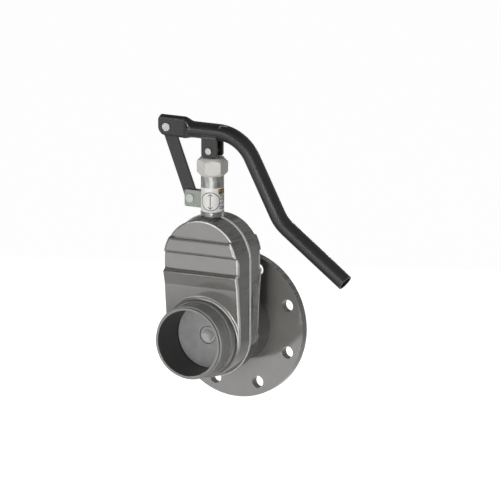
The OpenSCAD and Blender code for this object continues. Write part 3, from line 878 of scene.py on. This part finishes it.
# %% [markdown]
# A turned shape is drawn the way a lathe hand thinks of it: a list of radii and places along the axis.
# One circle is extruded from place to place and resized to each radius. A profile that comes back to its
# start closes into a ring, and its last circle is merged with the first. An open one gets a cap at each end.

# %% Turning
AXES = {"X": (0, math.pi / 2, 0), "Y": (math.pi / 2, 0, 0), "Z": (0, 0, 0)}


def clean_mesh():
    """Merges what lies together and turns the faces outwards."""
    edit_all()
    bpy.ops.mesh.remove_doubles(threshold=TINY)
    bpy.ops.mesh.normals_make_consistent(inside=False)
    leave_edit()


def turn(profile, axis, centre, sides):
    """Draws (radius, place) steps round an axis, which runs through a centre."""
    start_fresh()
    along = Vector([1.0 if name == axis else 0.0 for name in "XYZ"])
    radius, place = profile[0]
    spot = Vector(centre) + along * place
    bpy.ops.mesh.primitive_circle_add(vertices=sides, radius=radius, location=spot, rotation=AXES[axis])
    settle()
    edit_all()
    if profile[0] != profile[-1]:
        bpy.ops.mesh.edge_face_add()
    for next_radius, next_place in profile[1:]:
        bpy.ops.mesh.extrude_region_move(TRANSFORM_OT_translate={"value": along * (next_place - place)})
        share = next_radius / radius
        bpy.ops.transform.resize(value=[1.0 if name == axis else share for name in "XYZ"],
                                 center_override=Vector(centre) + along * next_place)
        radius, place = next_radius, next_place
    clean_mesh()
    return bpy.context.object


print("lathe ready for", len(AXES), "axes")

# %% [markdown]
# A finished piece is cleaned, smoothed up to an angle that keeps its real edges sharp, and dressed. It rides
# on the body that carries it, and the imported nodes it stands for are hidden. Its open edges are counted,
# because a closed piece has none.

# %% Seating a piece
SHARP_OVER = 32


def loose_edges(piece):
    """How many edges don't join exactly two faces."""
    mesh = bmesh.new()
    mesh.from_mesh(piece.data)
    count = sum(len(edge.link_faces) != 2 for edge in mesh.edges)
    mesh.free()
    return count


def place_piece(piece, name, body, slot, *stands_for, smooth=SHARP_OVER, look=None):
    """Cleans a finished piece, dresses it in its slot's finish or a look of its own, and seats it."""
    take_up(piece)
    clean_mesh()
    bpy.ops.object.shade_smooth_by_angle(angle=math.radians(smooth))
    piece.name = name
    piece.data.name = name
    piece.data.materials.clear()
    piece.data.materials.append(look or FINISHES[slot])
    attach(piece, body)
    if stands_for:
        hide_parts(*stands_for)
    print(name, len(piece.data.polygons), "faces,", loose_edges(piece), "open edges")


print("edges stay sharp over", SHARP_OVER, "degrees")

# %% [markdown]
# Several small things come in pairs, one in front of the lever's plane and one behind it. The first is
# modelled, and the second is a copy of it with a mesh of its own, moved along Y.

# %% Copying across
def copy_across(piece, distance):
    """A copy of a piece, moved along Y."""
    take_up(piece)
    bpy.ops.object.duplicate()
    bpy.ops.transform.translate(value=(0, distance, 0))
    settle()
    return bpy.context.object


print("copies move along Y")

# %% [markdown]
# ## The threaded spigot
#
# A 4 inch pipe thread is cut on the spigot, with a plain nose in front that leads it into a socket. The
# spigot itself is turned from its profile: bore, rounded lip, nose, and the blank that the thread is cut
# from.

# %% Spigot blank
NOSE_Y, BACK_Y = spigot_low.y, spigot_high.y
CREST_R = (spigot_high.x - spigot_low.x) / 2
NOSE_R = 54.8 * MM
BACK_R = 56.3 * MM
NOSE_LENGTH = 4.2 * MM
THREAD_LENGTH = 28.0 * MM
THREAD_LEAD = 1.2 * MM
LIP = 0.8 * MM
LIP_ROUND = 0.3 * LIP
thread_front = NOSE_Y + NOSE_LENGTH
thread_back = thread_front + THREAD_LENGTH
spigot = turn([
    (BORE_R, BACK_Y), (BORE_R, NOSE_Y + LIP), (BORE_R + LIP_ROUND, NOSE_Y + LIP_ROUND),
    (BORE_R + LIP, NOSE_Y), (NOSE_R - LIP, NOSE_Y), (NOSE_R - LIP_ROUND, NOSE_Y + LIP_ROUND),
    (NOSE_R, NOSE_Y + LIP), (NOSE_R, thread_front), (CREST_R - THREAD_LEAD, thread_front),
    (CREST_R, thread_front + THREAD_LEAD), (CREST_R, thread_back), (BACK_R, thread_back),
    (BACK_R, BACK_Y), (BORE_R, BACK_Y)], "Y", (0, 0, 0), sides=128)
print("spigot blank", len(spigot.data.polygons), "faces")

# %% [markdown]
# The thread is cut as on a lathe: a V tool is drawn as a triangle, the Screw modifier runs it round the
# axis, and a boolean takes the groove out. Eight turns to the inch make the pitch 3.175 mm.

# %% Thread
PITCH = 3.175 * MM
ROOT_R = 55.2 * MM
TURNS = 9.25
STEPS_PER_TURN = 96
TOOL_R = 1.42 * MM
thread_steps = round(TURNS * STEPS_PER_TURN)
start_fresh()
bpy.ops.mesh.primitive_circle_add(vertices=3, radius=TOOL_R, rotation=(0, 0, math.pi / 2),
                                  location=(ROOT_R + TOOL_R, thread_front - PITCH, 0))
settle()
thread_tool = bpy.context.object
add_and_apply(thread_tool, "SCREW", axis="Y", angle=math.tau * TURNS, iterations=1, steps=thread_steps,
              render_steps=thread_steps, screw_offset=PITCH * TURNS, use_merge_vertices=False)
edit_all()
bpy.ops.mesh.fill_holes(sides=3)
clean_mesh()
print("thread tool", len(thread_tool.data.polygons), "faces,", loose_edges(thread_tool), "open edges")
combine(spigot, "DIFFERENCE", thread_tool)
place_piece(spigot, "spigot_threads", "valve_body", "spigot_grey", "threaded_spigot")

# %% [markdown]
# ## The fillet round the shoulder
#
# The body's sloping lower face runs into the round shoulder with a hollow fillet, which catches a bright
# line. It is turned flat round the bore as a ring with a hollow flank, and leaned back with the face.

# %% Shoulder fillet
FACE_FOOT_DEPTH = 30.0 * MM
FACE_RISE = 8.1 / 80
FILLET_R = 66.3 * MM
FILLET_HOLLOW = 5.3 * MM
FILLET_SPAN = math.radians(72)
FILLET_STEPS, FILLET_SIDES = 8, 160
FILLET_SUNK = 1.5 * MM
flank = []
for i in range(FILLET_STEPS + 1):
    bend = FILLET_SPAN * i / FILLET_STEPS
    flank.append((FILLET_R - FILLET_HOLLOW * math.sin(bend), -FILLET_HOLLOW * (1 - math.cos(bend))))
inner_r, inner_y = flank[-1]
ring_start = (FILLET_R, FILLET_SUNK)
inner_side = [(inner_r - 0.5 * MM, inner_y), (inner_r - 1.2 * MM, inner_y + 0.6 * MM),
              (inner_r - 1.6 * MM, FILLET_SUNK)]
fillet = turn([ring_start, *flank, *inner_side, ring_start], "Y", (0, 0, 0), FILLET_SIDES)
fillet.rotation_euler.x = math.atan(FACE_RISE)
fillet.location = (0, SHELL_Y - FACE_FOOT_DEPTH, 0)
settle()
print("fillet ring", len(fillet.data.polygons), "faces")

# %% [markdown]
# The ring's lower part would lie inside the body, so it is cut off with a bisect. What is left is trimmed to
# the body's outline: a rod whose upper half is lifted has the same round foot and straight sides.

# %% Trimmed fillet
FILLET_END_Z = -17 * MM
TRIM_R = FACE_R - 0.2 * MM
TRIM_RISE = 80 * MM
TRIM_LENGTH = 100 * MM
edit_all()
bpy.ops.mesh.bisect(plane_co=(0, 0, FILLET_END_Z), plane_no=(0, 0, -1), clear_outer=True, use_fill=True)
leave_edit()
outline = cross_rod(0, 0, TRIM_R, FILLET_SIDES, TRIM_LENGTH)
edit_all()
pick_vertices(outline, lambda co: co.z > TINY)
bpy.ops.transform.translate(value=(0, 0, TRIM_RISE))
leave_edit()
combine(fillet, "INTERSECT", outline)
place_piece(fillet, "shoulder_fillet", "valve_body", "body_grey")

# %% [markdown]
# ## The crest's roll
#
# The ridge on each face ends in a crest that isn't sharp: the mould leaves a small roll along it, which
# carries a thin bright line from side to side. A thin rod with rounded ends, sunk almost wholly into the
# crest, is that roll. The rear face has a copy of it.

# %% Crest rolls
CREST_DEPTH = 43.0 * MM
ROLL_R, ROLL_TIP_R = 2.0 * MM, 0.4 * MM
ROLL_HALF_LENGTH = 61.6 * MM
ROLL_END = 1.6 * MM
ROLL_PROUD = 0.35 * MM
ROLL_SIDES = 24
left_end = [(ROLL_TIP_R, -ROLL_HALF_LENGTH), (ROLL_R * 0.75, -ROLL_HALF_LENGTH + ROLL_END * 0.35),
            (ROLL_R, -ROLL_HALF_LENGTH + ROLL_END)]
roll_profile = [*left_end, *((radius, -place) for radius, place in reversed(left_end))]
roll_depth = CREST_DEPTH - ROLL_R + ROLL_PROUD
front_roll = turn(roll_profile, "X", (0, SHELL_Y - roll_depth, CREST_Z), ROLL_SIDES)
rear_roll = copy_across(front_roll, 2 * roll_depth)
for roll, name in ((front_roll, "crest_roll_front"), (rear_roll, "crest_roll_rear")):
    place_piece(roll, name, "valve_body", "body_grey", smooth=40)

# %% [markdown]
# ## The plug's dished centre
#
# A round plug closes the middle of the closing plate. Its face was turned with a shallow dish, smoother than
# the moulded plate, which gathers one soft glint. The whole plug is turned again here with that dish in its
# face.

# %% Dished plug
DISH_R = 9.5 * MM
DISH_CURVE = 30.0 * MM
DISH_STEPS = 10
POINT_R = 0.3 * MM
PLUG_CHAMFER = 0.4 * MM
plug_low, plug_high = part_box("gate_plug")
plug_r = (plug_high.x - plug_low.x) / 2
plug_length = plug_high.y - plug_low.y
rim_height = math.sqrt(DISH_CURVE ** 2 - DISH_R ** 2)
plug_face = []
for i in range(DISH_STEPS + 1):
    radius = max(POINT_R, DISH_R * i / DISH_STEPS)
    plug_face.append((radius, math.sqrt(DISH_CURVE ** 2 - radius ** 2) - rim_height))
plug = turn([*plug_face, (plug_r - PLUG_CHAMFER, 0.0), (plug_r, PLUG_CHAMFER), (plug_r, plug_length),
             (plug_r * 0.5, plug_length), (POINT_R, plug_length)],
            "Y", (0, plug_low.y, (plug_low.z + plug_high.z) / 2), sides=64)
turned_dish = finish("turned_dish", (0.27, 0.27, 0.27), 0.3, level=0.5, cloud=0.05, cloud_size=6, uneven=0.05,
                     relief=0.004, edge=0.3)
place_piece(plug, "dished_plug", "gate_stem", "plate_grey", "gate_plug", look=turned_dish)

# %% [markdown]
# ## The lever's jaw
#
# The lever is a tube whose end is pressed flat in a die and slotted, so that the link hangs between two
# walls. Its flat, round-edged mouth is drawn first: a round one whose upper and lower halves are moved
# apart, with its middle line in the upper one. A short round stub is the mouth that meets the tube.

# %% Jaw
fork_low, fork_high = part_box("lever_fork")
_, crimp_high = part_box("lever_crimp")
tube_low, tube_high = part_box("lever_tube")
LEVER_R = (tube_high.y - tube_low.y) / 2
LEVEL_Z = tube_high.z - LEVER_R
JAW_R = (fork_high.y - fork_low.y) / 2
JAW_Z = (fork_high.z + fork_low.z) / 2
JAW_STRETCH = (fork_high.z - fork_low.z) / 2 - JAW_R
JAW_SIDES = 48
STUB = 1.5 * MM
TAPER_ON = 6.0 * MM
SLEEVE_R = LEVER_R + 0.12 * MM
stub_x = crimp_high.x + TAPER_ON - STUB
jaw = turn([(JAW_R, 0), (JAW_R, fork_high.x - fork_low.x)], "X", (fork_low.x, MID_Y, JAW_Z), JAW_SIDES)
edit_all()
for side, middle_line in ((1, TINY), (-1, 0.0)):
    pick_vertices(jaw, lambda co: (co.z - JAW_Z) * side > -middle_line)
    bpy.ops.transform.translate(value=(0, 0, side * JAW_STRETCH))
leave_edit()
mouth = turn([(SLEEVE_R, 0), (SLEEVE_R, STUB)], "X", (stub_x, MID_Y, LEVEL_Z), JAW_SIDES)
take_up(jaw)
mouth.select_set(True)
bpy.ops.object.join()
print("jaw and stub", len(jaw.data.polygons), "faces")

# %% [markdown]
# The two mouths lose the faces that look at each other, and are bridged with cuts that keep the metal's
# flow smooth at both ends.

# %% Pressed transition
BRIDGE_CUTS = 9
edit_all()
for mouth_x in (fork_high.x, stub_x):
    pick_vertices(jaw, lambda co: abs(co.x - mouth_x) < TINY)
    bpy.ops.mesh.delete(type="ONLY_FACE")
pick_vertices(jaw, lambda co: fork_high.x - TINY < co.x < stub_x + TINY)
bpy.ops.mesh.bridge_edge_loops(number_cuts=BRIDGE_CUTS, interpolation="SURFACE", smoothness=0.9)
leave_edit()
print("pressed", len(jaw.data.polygons), "faces,", loose_edges(jaw), "open edges")

# %% [markdown]
# The slot, the rounded nose, a cropped upper corner and the pin's hole are cut as the press tool would. The
# nose is a block with a rod taken out of it, so that what it leaves of the jaw is round.

# %% Tools for slot, nose, corner and hole
OVER = 5 * MM
JAW_GAP = 3.5 * MM
SLOT_END = fork_high.x - 1.5 * MM
SLOT_TOP = fork_high.z - 2.5 * MM
CORNER_IN, CORNER_DOWN = 3.0 * MM, 6.5 * MM
CORNER_HALF = 4 * OVER
PIN_HOLE_R = 4.05 * MM
pin_low, pin_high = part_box("link_pin_front")
pin_x, pin_z = (pin_low.x + pin_high.x) / 2, (pin_low.z + pin_high.z) / 2
slot = fresh_block((fork_low.x - OVER, MID_Y - JAW_GAP, fork_low.z - OVER),
                   (SLOT_END, MID_Y + JAW_GAP, SLOT_TOP))
nose = fresh_block((fork_low.x - OVER, fork_low.y - OVER, fork_low.z - OVER),
                   (pin_x, fork_high.y + OVER, pin_z))
combine(nose, "DIFFERENCE", cross_rod(pin_x, pin_z, pin_x - fork_low.x))
corner = fresh_block((-OVER, fork_low.y - OVER, -CORNER_HALF), (0, fork_high.y + OVER, CORNER_HALF))
corner.rotation_euler.y = math.atan2(CORNER_IN, CORNER_DOWN)
corner.location = (fork_low.x, 0, fork_high.z - CORNER_DOWN)
take_up(corner)
settle()
pin_hole = cross_rod(pin_x, pin_z, PIN_HOLE_R, JAW_SIDES)
print("pin hole at", round(pin_x / MM, 1), round(pin_z / MM, 1))

# %% [markdown]
# The die's corners leave a slanting dimple on each side, where the flat runs out into the round. A stretched
# ball cuts one side, and its copy the other.

# %% Dimples
DIMPLE_RADII = (2.6 * MM, 3.4 * MM, 9.0 * MM)
DIMPLE_TILT = math.radians(-33)
DIMPLE_X, DIMPLE_Z = -42.5 * MM, 324.0 * MM
DIMPLE_OUT = 9.2 * MM
start_fresh()
bpy.ops.mesh.primitive_uv_sphere_add(segments=32, ring_count=20, radius=1, scale=DIMPLE_RADII,
                                     location=(DIMPLE_X, MID_Y + DIMPLE_OUT, DIMPLE_Z),
                                     rotation=(0, DIMPLE_TILT, 0))
settle()
rear_ball = bpy.context.object
front_ball = copy_across(rear_ball, -2 * DIMPLE_OUT)
combine(jaw, "DIFFERENCE", slot, nose, corner, pin_hole, rear_ball, front_ball)
print("jaw", len(jaw.data.polygons), "faces")

# %% [markdown]
# Along the lower rim of the dimples, a short pale line is a painted glint. It is a slanting box, painted on
# the jaw's own copy of the coat.

# %% Painted glint at the pinch
PINCH_X, PINCH_Z = -37.8 * MM, 322.2 * MM
PINCH_TILT = math.radians(-44)
PINCH_HALF, PINCH_LINE = 5.0 * MM, 1.0 * MM
PINCH_GLINT_PAINT = (0.36, 0.36, 0.35)
jaw_coat = black_coat("jaw_black")
right, _, up = split(object_place(jaw_coat.node_tree, centre=(PINCH_X, 0, PINCH_Z)))
cosine, sine = math.cos(PINCH_TILT), math.sin(PINCH_TILT)
along = calc("ADD", calc("MULTIPLY", right, cosine), calc("MULTIPLY", up, sine))
across = calc("SUBTRACT", calc("MULTIPLY", up, cosine), calc("MULTIPLY", right, sine))
# Painted glint: a pale slanting line on the jaw's coat.
lay_over(jaw_coat, block(along, across, PINCH_HALF, PINCH_LINE), PINCH_GLINT_PAINT)
place_piece(jaw, "lever_jaw", "lever", "lever_black", "lever_fork", "lever_crimp", smooth=28, look=jaw_coat)

# %% [markdown]
# ## Bender's mark
#
# The lever was bent cold round a shoe, and the shoe's end left a raised crescent on the tube where the first
# bend begins, with its coat scuffed pale. It is drawn as part of a flat ring over the tube, dropped on the
# tube's skin with a shrinkwrap and given a little thickness, so that it follows the bend.

# %% Mark of the bending shoe
MARK_LONG, MARK_WIDE = 9.0 * MM, 4.6 * MM
MARK_LINE = 0.74
MARK_FROM, MARK_TO = math.radians(60), math.radians(215)
MARK_X, MARK_LEAN, MARK_ABOVE = 25.0 * MM, math.radians(40), 30 * MM
MARK_PROUD, MARK_THICK = 0.5 * MM, 1.0 * MM
start_fresh()
bpy.ops.mesh.primitive_circle_add(vertices=72, radius=1.0)
mark = bpy.context.object
edit_all()
bpy.ops.mesh.extrude_region_move(TRANSFORM_OT_translate={"value": (0, 0, 0)})
bpy.ops.transform.resize(value=(MARK_LINE, MARK_LINE, 1))
pick_vertices(mark, lambda co: not MARK_FROM < math.atan2(co.y, co.x) % math.tau < MARK_TO)
bpy.ops.mesh.delete(type="VERT")
leave_edit()
mark.scale = (MARK_LONG, MARK_WIDE, 1)
bpy.ops.object.transform_apply(location=False, rotation=False, scale=True)
mark.rotation_euler = (MARK_LEAN, 0, 0)
mark.location = (MARK_X, MID_Y - MARK_ABOVE * math.sin(MARK_LEAN),
                 LEVEL_Z + MARK_ABOVE * math.cos(MARK_LEAN))
add_and_apply(mark, "SUBSURF", levels=1, render_levels=1, subdivision_type="SIMPLE")
add_and_apply(mark, "SHRINKWRAP", wrap_method="PROJECT", use_project_z=True, use_negative_direction=True,
              use_positive_direction=False, target=frame["nodes"]["lever_tube"], offset=MARK_PROUD)
add_and_apply(mark, "SOLIDIFY", thickness=MARK_THICK, offset=-1)
settle()
scuffed_black = finish("scuffed_black", (0.27, 0.27, 0.26), 0.45, level=0.3, cloud=0.3, cloud_size=4,
                       edge=0.2)
place_piece(mark, "bend_mark", "lever", "lever_black", smooth=60, look=scuffed_black)

# %% [markdown]
# ## Weld beads
#
# The clevis cheeks are welded under the lever, and the two bracket plates to the bonnet tube. A bead is a
# row of overlapping ripples. Each is turned round its own length from a profile that swells and dips, and
# tapers to a round end, then seated half into the joint.

# %% Beads
RIPPLE = 1.9 * MM
RIPPLE_DEPTH = 0.16
STEPS_PER_RIPPLE = 4
BLUNT_END = 0.03
BEAD_MARGIN = 0.7 * MM


def bead_profile(length, radius):
    """Radii along a bead that swell once for each ripple and round off at both ends."""
    steps = round(length / RIPPLE) * STEPS_PER_RIPPLE
    profile = []
    for i in range(steps + 1):
        place = length * i / steps
        end = min(place, length - place) / radius
        round_off = math.sqrt(max(BLUNT_END, 1 - max(0.0, 1 - end) ** 2))
        swell = 1 - RIPPLE_DEPTH * abs(math.cos(math.pi * place / RIPPLE))
        profile.append((radius * round_off * swell, place))
    return profile


def weld_pair(name, axis, start, rear_y, length, radius, sides, body, slot, look=None):
    """Lays a bead along an axis, a little short of the joint's length at both ends, and copies it across."""
    front_bead = turn(bead_profile(length - 2 * BEAD_MARGIN, radius), axis, start, sides)
    rear_bead = copy_across(front_bead, rear_y - start[1])
    for bead, side in ((front_bead, "_front"), (rear_bead, "_rear")):
        place_piece(bead, name + side, body, slot, smooth=60, look=look)


print("ripples", RIPPLE / MM, "mm long")

# %% [markdown]
# One bead runs along the top of each cheek, under the lever, and one down the edge of each bracket plate,
# against the tube. Front and rear are the same.

# %% Welds
CHEEK_BEAD_R, CHEEK_BEAD_IN, CHEEK_BEAD_SIDES = 2.7 * MM, 1.0 * MM, 20
CHEEK_BEAD_Z = LEVEL_Z - 8.1 * MM
BRACKET_BEAD_R, BRACKET_BEAD_SIDES = 1.5 * MM, 16
BRACKET_BEAD_X = -16.7 * MM
cheek_low, cheek_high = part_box("clevis_front_cheek")
_, far_cheek_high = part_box("clevis_rear_cheek")
plate_low, plate_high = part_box("bracket_front_plate")
_, far_plate_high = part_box("bracket_rear_plate")
weld_black = finish("weld_black", (0.06, 0.06, 0.058), 0.4, level=0.35, cloud=0.15, cloud_size=3, relief=0.02,
                    relief_size=0.8, edge=0.2)
weld_pair("cheek_weld", "X", (cheek_low.x + BEAD_MARGIN, cheek_low.y + CHEEK_BEAD_IN, CHEEK_BEAD_Z),
          far_cheek_high.y - CHEEK_BEAD_IN, cheek_high.x - cheek_low.x, CHEEK_BEAD_R, CHEEK_BEAD_SIDES,
          "lever", "lever_black", weld_black)
weld_pair("bracket_weld", "Z", (BRACKET_BEAD_X, plate_low.y, plate_low.z + BEAD_MARGIN), far_plate_high.y,
          plate_high.z - plate_low.z, BRACKET_BEAD_R, BRACKET_BEAD_SIDES, "valve_body", "bracket_zinc")
